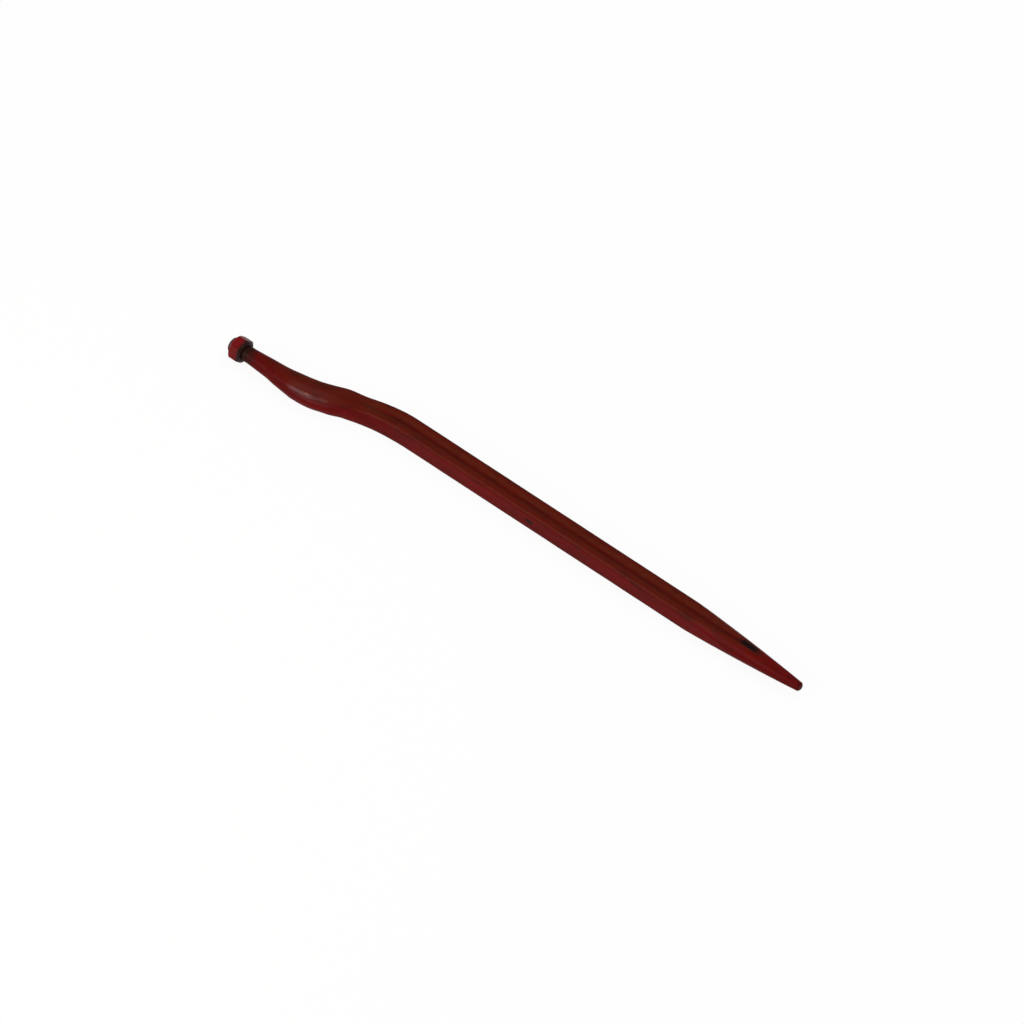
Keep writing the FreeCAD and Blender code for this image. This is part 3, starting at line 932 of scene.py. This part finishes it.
class SharedEffects:
    """The effects that more than one finish uses, each a group built once."""

    def __init__(self) -> None:
        """Build every shared group."""
        self.mottle = self.build_mottle()
        self.chips = self.build_chips()
        self.skin = self.build_skin()

    @staticmethod
    def new_group(name: str, inputs: Sequence[Tuple[str, str, float]],
                  outputs: Sequence[Tuple[str, str]]
                  ) -> Tuple[bpy.types.NodeTree, bpy.types.Node, bpy.types.Node]:
        """Start a group with named sockets.

        Args:
            name: the group's name.
            inputs: each input as its name, socket type and default value.
            outputs: each output as its name and socket type.

        Returns:
            The tree, its input node and its output node.
        """
        tree = bpy.data.node_groups.new(name, "ShaderNodeTree")
        for label, kind, value in inputs:
            socket = tree.interface.new_socket(name=label, in_out="INPUT", socket_type=kind)
            if kind == "NodeSocketFloat":
                socket.default_value = value
        for label, kind in outputs:
            tree.interface.new_socket(name=label, in_out="OUTPUT", socket_type=kind)
        return tree, tree.nodes.new("NodeGroupInput"), tree.nodes.new("NodeGroupOutput")

    def build_mottle(self) -> bpy.types.NodeTree:
        """Broad and fine patchiness in one mask."""
        tree, into, out = self.new_group(
            "paint_mottle",
            [("Place", "NodeSocketVector", 0), ("Broad", "NodeSocketFloat", 14.0),
             ("Fine", "NodeSocketFloat", 130.0), ("Fine share", "NodeSocketFloat", 0.4)],
            [("Mask", "NodeSocketFloat")])
        wire = Wiring(tree)
        broad = wire.noise(into.outputs["Place"], 14.0, 4.0)
        wire.feed(broad.node.inputs["Scale"], into.outputs["Broad"])
        fine = wire.noise(into.outputs["Place"], 130.0, 3.0, 0.65)
        wire.feed(fine.node.inputs["Scale"], into.outputs["Fine"])
        mixed = wire.node("ShaderNodeMix", data_type="FLOAT")
        wire.feed(mixed.inputs[0], into.outputs["Fine share"])
        wire.feed(mixed.inputs[2], broad)
        wire.feed(mixed.inputs[3], fine)
        wire.feed(out.inputs["Mask"], wire.ease(mixed.outputs[0], 0.3, 0.7))
        return tree

    def build_chips(self) -> bpy.types.NodeTree:
        """Small chips and rubs that gather where an edge value is high."""
        tree, into, out = self.new_group(
            "edge_chips",
            [("Place", "NodeSocketVector", 0), ("Edge", "NodeSocketFloat", 0.0),
             ("Size", "NodeSocketFloat", 220.0), ("Amount", "NodeSocketFloat", 0.5)],
            [("Mask", "NodeSocketFloat")])
        wire = Wiring(tree)
        grain = wire.noise(into.outputs["Place"], 220.0, 4.0, 0.7)
        wire.feed(grain.node.inputs["Scale"], into.outputs["Size"])
        patches = wire.noise(into.outputs["Place"], 24.0, 2.0)
        raised = wire.maths("ADD", grain, wire.maths("MULTIPLY", patches, 0.8))
        level = wire.maths("SUBTRACT", 1.32, wire.maths("MULTIPLY", into.outputs["Amount"], 0.4))
        over = wire.maths("SUBTRACT", raised, level)
        wire.feed(out.inputs["Mask"],
                  wire.maths("MULTIPLY", wire.ease(over, -0.02, 0.06), into.outputs["Edge"]))
        return tree

    def build_skin(self) -> bpy.types.NodeTree:
        """The height of orange peel, scale pits and rolling marks under paint."""
        tree, into, out = self.new_group(
            "forge_skin",
            [("Place", "NodeSocketVector", 0), ("Pits", "NodeSocketFloat", 0.5),
             ("Peel", "NodeSocketFloat", 0.5)],
            [("Height", "NodeSocketFloat")])
        wire = Wiring(tree)
        peel = wire.noise(into.outputs["Place"], 620.0, 2.0)
        swell = wire.noise(into.outputs["Place"], 75.0, 3.0)
        pits = wire.node("ShaderNodeTexVoronoi", feature="F1")
        wire.feed(pits.inputs["Vector"], into.outputs["Place"])
        wire.feed(pits.inputs["Scale"], 150.0)
        hole = wire.ease(pits.outputs["Distance"], 0.0, 0.35)
        where = wire.ease(wire.noise(into.outputs["Place"], 30.0, 2.0), 0.52, 0.66)
        sunk = wire.maths("MULTIPLY", wire.maths("MULTIPLY", wire.maths("SUBTRACT", hole, 1.0),
                                                 where), into.outputs["Pits"])
        fine = wire.maths("MULTIPLY", peel, into.outputs["Peel"])
        wire.feed(out.inputs["Height"], wire.maths("ADD", wire.maths("ADD", sunk, fine), swell))
        return tree


@dataclass(frozen=True)
class Spot:
    """One mark on the forging: its place on the straight bar and its reach, in millimetres."""

    along: float
    across: float
    up: float
    reach: Point
    strength: float


@dataclass(frozen=True)
class TinePaint:
    """Dark red paint, browned by dust on top, rubbed and grimy in the groove, with grime and painted
    shade along its floor, painted shade on the neck, the lower side and the back corner, and a painted
    shadow by the nut.
    """

    name: str = "tine_red_paint"
    red: Colour = (0.122, 0.0026, 0.0020)
    deep_red: Colour = (0.078, 0.0026, 0.0020)
    dusty: Colour = (0.082, 0.0080, 0.0030)
    rubbed: Colour = (0.080, 0.0125, 0.0045)
    shaded: Colour = (0.062, 0.0028, 0.0022)
    neck_shadow: Colour = (0.014, 0.0060, 0.0045)
    dark_tone: Colour = (0.040, 0.0050, 0.0030)
    bare: Colour = (0.030, 0.014, 0.011)
    black: Colour = (0.006, 0.004, 0.004)
    roughness: float = 0.34
    specular: float = 0.012
    gloss: float = 0.05
    bend_gloss: float = 0.34
    gloss_roughness: float = 0.23

    def spots(self) -> Tuple[Spot, ...]:
        """The dark marks, from the groove's end to the nicks on the edges."""
        return (
            Spot(1137.0, 3.5, 14.0, (29.0, 8.0, 9.0), 0.95),
            Spot(657.0, -21.0, 2.0, (11.0, 7.0, 6.0), 0.8),
            Spot(870.0, 19.5, 20.0, (5.0, 3.5, 3.5), 0.8),
            Spot(938.0, 19.5, 20.0, (4.5, 3.0, 3.0), 0.7),
            Spot(1232.0, -2.0, 10.0, (6.0, 4.5, 5.0), 0.35),
        )

    def build(self, shared: SharedEffects) -> bpy.types.Material:
        """Wire the finish.

        Args:
            shared: the groups that the finishes share.

        Returns:
            The material.
        """
        material = bpy.data.materials.new(self.name)
        material.use_nodes = True
        material.node_tree.nodes.clear()
        wire = Wiring(material.node_tree)
        place = wire.place()
        drawn = wire.stretched(place, (0.35, 1.0, 1.0))
        split = wire.node("ShaderNodeSeparateXYZ")
        wire.feed(split.inputs[0], place)
        up = split.outputs[2]
        mottle = wire.group(shared.mottle, place=drawn, broad=26.0, fine=210.0,
                            fine_share=0.4).outputs["Mask"]
        colour = wire.blend(mottle, self.red, self.deep_red)
        on_top = wire.ease(up, 0.0135, 0.0200)
        dust = wire.noise(drawn, 60.0, 5.0, 0.65)
        settled = wire.maths("MULTIPLY", on_top, wire.ease(dust, 0.25, 0.6, 0.55, 1.0))
        colour = wire.blend(settled, colour, self.dusty)
        depth = wire.stored("groove_depth")
        walls = wire.maths("MULTIPLY", wire.ease(depth, 0.03, 0.3), wire.ease(
            depth, 0.98, 0.6))
        stain = wire.ease(wire.noise(drawn, 70.0, 5.0, 0.7), 0.49, 0.62)
        stain = wire.maths("MULTIPLY", stain, wire.ease(up, 0.0095, 0.0160, 0.26, 0.55))
        colour = wire.blend(stain, colour, self.dark_tone)
        patchy = wire.ease(wire.noise(drawn, 150.0, 4.0, 0.7), 0.38, 0.62)
        colour = wire.blend(wire.maths("MULTIPLY", walls, wire.ease(patchy, 0.0, 1.0, 0.35, 0.95)),
                            colour, self.rubbed)
        # Grime and painted shade along the groove's floor, darkest in the crease.
        line = wire.ease(depth, 0.86, 1.0)
        colour = wire.blend(wire.maths("MULTIPLY", line, 0.55), colour, self.dark_tone)
        edge = wire.stored("corner_line")
        back_corner = wire.maths("MULTIPLY", edge, wire.ease(split.outputs[1], -0.005, 0.010))
        colour = wire.blend(wire.maths("MULTIPLY", back_corner, 0.5), colour, self.shaded)
        colour = wire.blend(wire.ease(split.outputs[0], 0.135, 0.085, 0.0, 0.35), colour,
                            self.shaded)
        low = wire.ease(up, -0.0085, -0.0190)
        colour = wire.blend(wire.maths("MULTIPLY", low, 0.8), colour, self.shaded)
        # Painted shadow on the neck where it leaves the nut.
        near_nut = wire.maths("ADD", split.outputs[0], wire.maths(
            "MULTIPLY", wire.maths("SUBTRACT", wire.noise(place, 70.0, 3.0), 0.5), 0.024))
        colour = wire.blend(wire.ease(near_nut, 0.066, 0.036, 0.0, 0.95), colour,
                            self.neck_shadow)
        chips = wire.group(shared.chips, place=drawn, edge=edge, size=240.0,
                           amount=0.55).outputs["Mask"]
        colour = wire.blend(wire.maths("MULTIPLY", chips, 0.7), colour, self.bare)
        shade = None
        for spot in self.spots():
            mark = self.wire_spot(wire, place, spot)
            shade = mark if shade is None else wire.maths("MAXIMUM", shade, mark)
        colour = wire.blend(shade, colour, self.black)
        surface = wire.node("ShaderNodeBsdfPrincipled")
        wire.feed(surface.inputs["Base Color"], colour)
        rough = wire.maths("ADD", self.roughness, wire.maths("MULTIPLY", mottle, 0.10))
        rough = wire.maths("ADD", rough, wire.maths("MULTIPLY", walls, 0.18))
        rough = wire.maths("ADD", rough, wire.maths("MULTIPLY", settled, 0.08), clamp=True)
        wire.feed(surface.inputs["Roughness"], rough)
        surface.inputs["Specular IOR Level"].default_value = self.specular
        along = split.outputs[0]
        ridge = wire.maths("SUBTRACT", wire.maths("MULTIPLY", up, 0.79),
                           wire.maths("MULTIPLY", split.outputs[1], 0.61))
        smooth_bend = wire.maths("MULTIPLY", wire.ease(along, 0.128, 0.155),
                                 wire.ease(along, 0.262, 0.175))
        smooth_bend = wire.maths("MULTIPLY", smooth_bend, wire.ease(ridge, 0.0188, 0.0222))
        wire.feed(surface.inputs["Coat Weight"], wire.ease(
            smooth_bend, 0.0, 1.0, self.gloss, self.bend_gloss))
        surface.inputs["Coat Roughness"].default_value = self.gloss_roughness
        skin = wire.group(shared.skin, place=place, pits=0.7, peel=0.12).outputs["Height"]
        chipped = wire.maths("SUBTRACT", skin, wire.maths("MULTIPLY", chips, 0.35))
        bump = wire.node("ShaderNodeBump")
        bump.inputs["Strength"].default_value = 0.35
        bump.inputs["Distance"].default_value = 0.0012
        wire.feed(bump.inputs["Height"], chipped)
        wire.feed(surface.inputs["Normal"], bump.outputs[0])
        out = wire.node("ShaderNodeOutputMaterial")
        wire.feed(out.inputs[0], surface.outputs[0])
        return material

    def wire_spot(self, wire: Wiring, place: bpy.types.NodeSocket, spot: Spot
                  ) -> bpy.types.NodeSocket:
        """The mask of one dark mark, ragged at its rim."""
        reach = tuple(1.0 / (r * MM) for r in spot.reach)
        start = tuple(-c * MM * f for c, f in zip((spot.along, spot.across, spot.up), reach))
        local = wire.stretched(place, reach, start)
        length = wire.node("ShaderNodeVectorMath", operation="LENGTH")
        wire.feed(length.inputs[0], local)
        ragged = wire.maths("ADD", length.outputs["Value"], wire.maths(
            "MULTIPLY", wire.maths("SUBTRACT", wire.noise(place, 260.0, 3.0, 0.7), 0.5), 1.3))
        return wire.ease(ragged, 0.55, 1.05, spot.strength, 0.0)


@dataclass(frozen=True)
class NutPaint:
    """The same red paint on the nut, set lighter as painted light on its flats, with painted shadow
    darkening its face towards the tip.
    """

    name: str = "nut_red_paint"
    # Lighter than the forging's red: painted light on the nut's flats.
    red: Colour = (0.150, 0.0030, 0.0035)
    deep_red: Colour = (0.100, 0.0030, 0.0028)
    bare: Colour = (0.040, 0.016, 0.013)
    dark_tone: Colour = (0.013, 0.0060, 0.0045)
    front: float = -0.594
    roughness: float = 0.34
    specular: float = 0.05
    gloss: float = 0.10

    def build(self, shared: SharedEffects) -> bpy.types.Material:
        """Wire the finish.

        Args:
            shared: the groups that the finishes share.

        Returns:
            The material.
        """
        material = bpy.data.materials.new(self.name)
        material.use_nodes = True
        material.node_tree.nodes.clear()
        wire = Wiring(material.node_tree)
        place = wire.node("ShaderNodeTexCoord").outputs["Object"]
        mottle = wire.group(shared.mottle, place=place, broad=60.0, fine=320.0,
                            fine_share=0.45).outputs["Mask"]
        colour = wire.blend(mottle, self.red, self.deep_red)
        edge = wire.stored("edge_line")
        chips = wire.group(shared.chips, place=place, edge=edge, size=420.0,
                           amount=0.75).outputs["Mask"]
        colour = wire.blend(wire.maths("MULTIPLY", chips, 0.75), colour, self.bare)
        split = wire.node("ShaderNodeSeparateXYZ")
        wire.feed(split.inputs[0], place)
        # Painted shadow: the nut's face towards the tip is darkened.
        ragged = wire.maths("ADD", split.outputs[0], wire.maths(
            "MULTIPLY", wire.maths("SUBTRACT", wire.noise(place, 110.0, 3.0), 0.5), 0.007))
        face = wire.ease(ragged, self.front - 0.0100, self.front - 0.0030, 0.0, 0.95)
        colour = wire.blend(face, colour, self.dark_tone)
        surface = wire.node("ShaderNodeBsdfPrincipled")
        wire.feed(surface.inputs["Base Color"], colour)
        wire.feed(surface.inputs["Roughness"], wire.maths(
            "ADD", self.roughness, wire.maths("MULTIPLY", mottle, 0.12)))
        surface.inputs["Specular IOR Level"].default_value = self.specular
        surface.inputs["Coat Weight"].default_value = self.gloss
        surface.inputs["Coat Roughness"].default_value = self.roughness
        skin = wire.group(shared.skin, place=place, pits=0.3, peel=0.15).outputs["Height"]
        bump = wire.node("ShaderNodeBump")
        bump.inputs["Strength"].default_value = 0.3
        bump.inputs["Distance"].default_value = 0.0008
        wire.feed(bump.inputs["Height"], wire.maths(
            "SUBTRACT", skin, wire.maths("MULTIPLY", chips, 0.4)))
        wire.feed(surface.inputs["Normal"], bump.outputs[0])
        out = wire.node("ShaderNodeOutputMaterial")
        wire.feed(out.inputs[0], surface.outputs[0])
        return material


@dataclass(frozen=True)
class ThreadFinish:
    """The stub's thread: thin paint in its valleys, rubbed steel on its crests."""

    name: str = "stub_thread_finish"
    red: Colour = (0.085, 0.0050, 0.0040)
    steel: Colour = (0.11, 0.095, 0.088)
    dark_tone: Colour = (0.020, 0.009, 0.007)

    def build(self, shared: SharedEffects) -> bpy.types.Material:
        """Wire the finish.

        Args:
            shared: the groups that the finishes share.

        Returns:
            The material.
        """
        material = bpy.data.materials.new(self.name)
        material.use_nodes = True
        material.node_tree.nodes.clear()
        wire = Wiring(material.node_tree)
        place = wire.node("ShaderNodeTexCoord").outputs["Object"]
        mottle = wire.group(shared.mottle, place=place, broad=90.0, fine=500.0,
                            fine_share=0.5).outputs["Mask"]
        colour = wire.blend(mottle, self.red, self.dark_tone)
        crest = wire.stored("crest")
        rubbed = wire.group(shared.chips, place=place, edge=crest, size=500.0,
                            amount=0.9).outputs["Mask"]
        colour = wire.blend(rubbed, colour, self.steel)
        surface = wire.node("ShaderNodeBsdfPrincipled")
        wire.feed(surface.inputs["Base Color"], colour)
        wire.feed(surface.inputs["Metallic"], wire.maths("MULTIPLY", rubbed, 0.8))
        wire.feed(surface.inputs["Roughness"], wire.maths(
            "ADD", 0.38, wire.maths("MULTIPLY", mottle, 0.2)))
        surface.inputs["Specular IOR Level"].default_value = 0.3
        skin = wire.group(shared.skin, place=place, pits=0.3, peel=0.2).outputs["Height"]
        bump = wire.node("ShaderNodeBump")
        bump.inputs["Strength"].default_value = 0.3
        bump.inputs["Distance"].default_value = 0.0006
        wire.feed(bump.inputs["Height"], skin)
        wire.feed(surface.inputs["Normal"], bump.outputs[0])
        out = wire.node("ShaderNodeOutputMaterial")
        wire.feed(out.inputs[0], surface.outputs[0])
        return material


def store_values(piece: bpy.types.Object, name: str, measure: Callable[[Vector], float]) -> None:
    """Store a value from 0 to 1 on each point of a piece, measured from its place."""
    values = np.array([min(1.0, max(0.0, measure(v.co))) for v in piece.data.vertices], np.float32)
    piece.data.attributes.new(name, "FLOAT", "POINT").data.foreach_set("value", values)


def dress(piece: bpy.types.Object, material: bpy.types.Material) -> None:
    """Give a piece its finish and put it on the spear's one body."""
    piece.data.materials.clear()
    piece.data.materials.append(material)
    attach(piece, "root")


# ----------------------------------------------------------------- the studio


@dataclass
class Studio:
    """A pale floor, soft lamps and the camera."""

    azimuth: float = 41.28
    elevation: float = 48.0
    frame_width: float = 1.7510
    aside: float = -0.0072
    above: float = 0.0217
    distance: float = 4.0
    floor_size: float = 16.0
    sky: float = 0.55

    def build(self) -> None:
        """Set up the floor, the lamps, the world and the camera."""
        self.build_floor()
        self.build_lamp("front_lamp", (-1.6, -3.2, 1.5), 2.4, 62.0)
        self.build_lamp("top_lamp", (0.9, 1.3, 3.4), 2.6, 40.0)
        self.build_lamp("key_lamp", (-1.23, -2.02, 2.41), 0.30, 21.0, (1.0, 0.58, 0.40))
        self.build_world()
        self.build_camera()
        scene = bpy.context.scene
        scene.view_settings.view_transform = "Standard"

    def build_floor(self) -> None:
        """The plain floor, pale to the camera, that still takes a shadow."""
        clear_selection()
        bpy.ops.mesh.primitive_plane_add(size=self.floor_size, location=(0, 0, -0.0004))
        floor = bpy.context.object
        floor.name = "studio_floor"
        material = bpy.data.materials.new("studio_floor_paint")
        material.use_nodes = True
        material.node_tree.nodes.clear()
        wire = Wiring(material.node_tree)
        path = wire.node("ShaderNodeLightPath")
        seen = wire.maths("MAXIMUM", path.outputs["Is Camera Ray"], path.outputs["Is Glossy Ray"])
        matt = wire.node("ShaderNodeBsdfDiffuse")
        matt.inputs["Color"].default_value = (0.92, 0.92, 0.92, 1)
        glow = wire.node("ShaderNodeEmission")
        glow.inputs["Color"].default_value = (1, 1, 1, 1)
        glow.inputs["Strength"].default_value = 1.0
        mix = wire.node("ShaderNodeMixShader")
        wire.feed(mix.inputs[0], wire.maths("MULTIPLY", seen, 0.93))
        wire.feed(mix.inputs[1], matt.outputs[0])
        wire.feed(mix.inputs[2], glow.outputs[0])
        out = wire.node("ShaderNodeOutputMaterial")
        wire.feed(out.inputs[0], mix.outputs[0])
        floor.data.materials.append(material)

    def build_lamp(self, name: str, place: Point, size: float, power: float,
                   colour: Colour = (1.0, 1.0, 1.0)) -> None:
        """One soft square lamp that faces the middle of the spear."""
        light = bpy.data.lights.new(name, "AREA")
        light.color = colour
        light.size = size
        light.energy = power
        lamp = bpy.data.objects.new(name, light)
        lamp.location = place
        lamp.rotation_euler = (-Vector(place)).to_track_quat("-Z", "Y").to_euler()
        bpy.context.scene.collection.objects.link(lamp)

    def build_world(self) -> None:
        """An even pale sky."""
        world = bpy.data.worlds.new("studio_sky")
        world.use_nodes = True
        background = world.node_tree.nodes["Background"]
        background.inputs["Color"].default_value = (1, 1, 1, 1)
        background.inputs["Strength"].default_value = self.sky
        bpy.context.scene.world = world

    def build_camera(self) -> None:
        """The camera, far off and level with nothing, looking down on the spear."""
        azimuth, elevation = math.radians(self.azimuth), math.radians(self.elevation)
        towards = Vector((math.sin(azimuth) * math.cos(elevation),
                          -math.cos(azimuth) * math.cos(elevation), math.sin(elevation)))
        data = bpy.data.cameras.new("studio_camera")
        data.type = "ORTHO"
        data.ortho_scale = self.frame_width
        data.clip_end = 50.0
        camera = bpy.data.objects.new("studio_camera", data)
        turn = towards.to_track_quat("Z", "Y")
        right, up = turn @ Vector((1, 0, 0)), turn @ Vector((0, 1, 0))
        camera.location = towards * self.distance + right * self.aside + up * self.above
        camera.rotation_euler = turn.to_euler()
        bpy.context.scene.collection.objects.link(camera)
        bpy.context.scene.camera = camera


def main() -> None:
    """Build the spear piece by piece, dress it, and set up the studio."""
    logging.basicConfig(level=logging.INFO, format="%(message)s")
    shared = SharedEffects()
    tine = Tine().build()
    dress(tine, TinePaint().build(shared))
    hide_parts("tine")
    log.info("tine_forging: %d faces", len(tine.data.polygons))
    stub = StubThread().build()
    centre_z = (BarSizes().side / 2 + NeckSizes().lift) * MM
    centre_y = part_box("tine")[1].y - (NeckSizes().offset + BarSizes().side / 2) * MM
    store_values(stub, "crest", lambda co: (
        math.hypot(co.y - centre_y, co.z - centre_z) / MM - 13.4) / 0.5)
    dress(stub, ThreadFinish().build(shared))
    log.info("stub_thread: %d faces", len(stub.data.polygons))
    nut = HexNut().build()
    store_values(nut, "edge_line", lambda co: (
        math.hypot(co.y - centre_y, co.z - centre_z) / MM - 21.2) / 1.6)
    dress(nut, NutPaint().build(shared))
    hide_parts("nut")
    log.info("hex_nut: %d faces", len(nut.data.polygons))
    Studio().build()


if __name__ == "__main__":
    main()
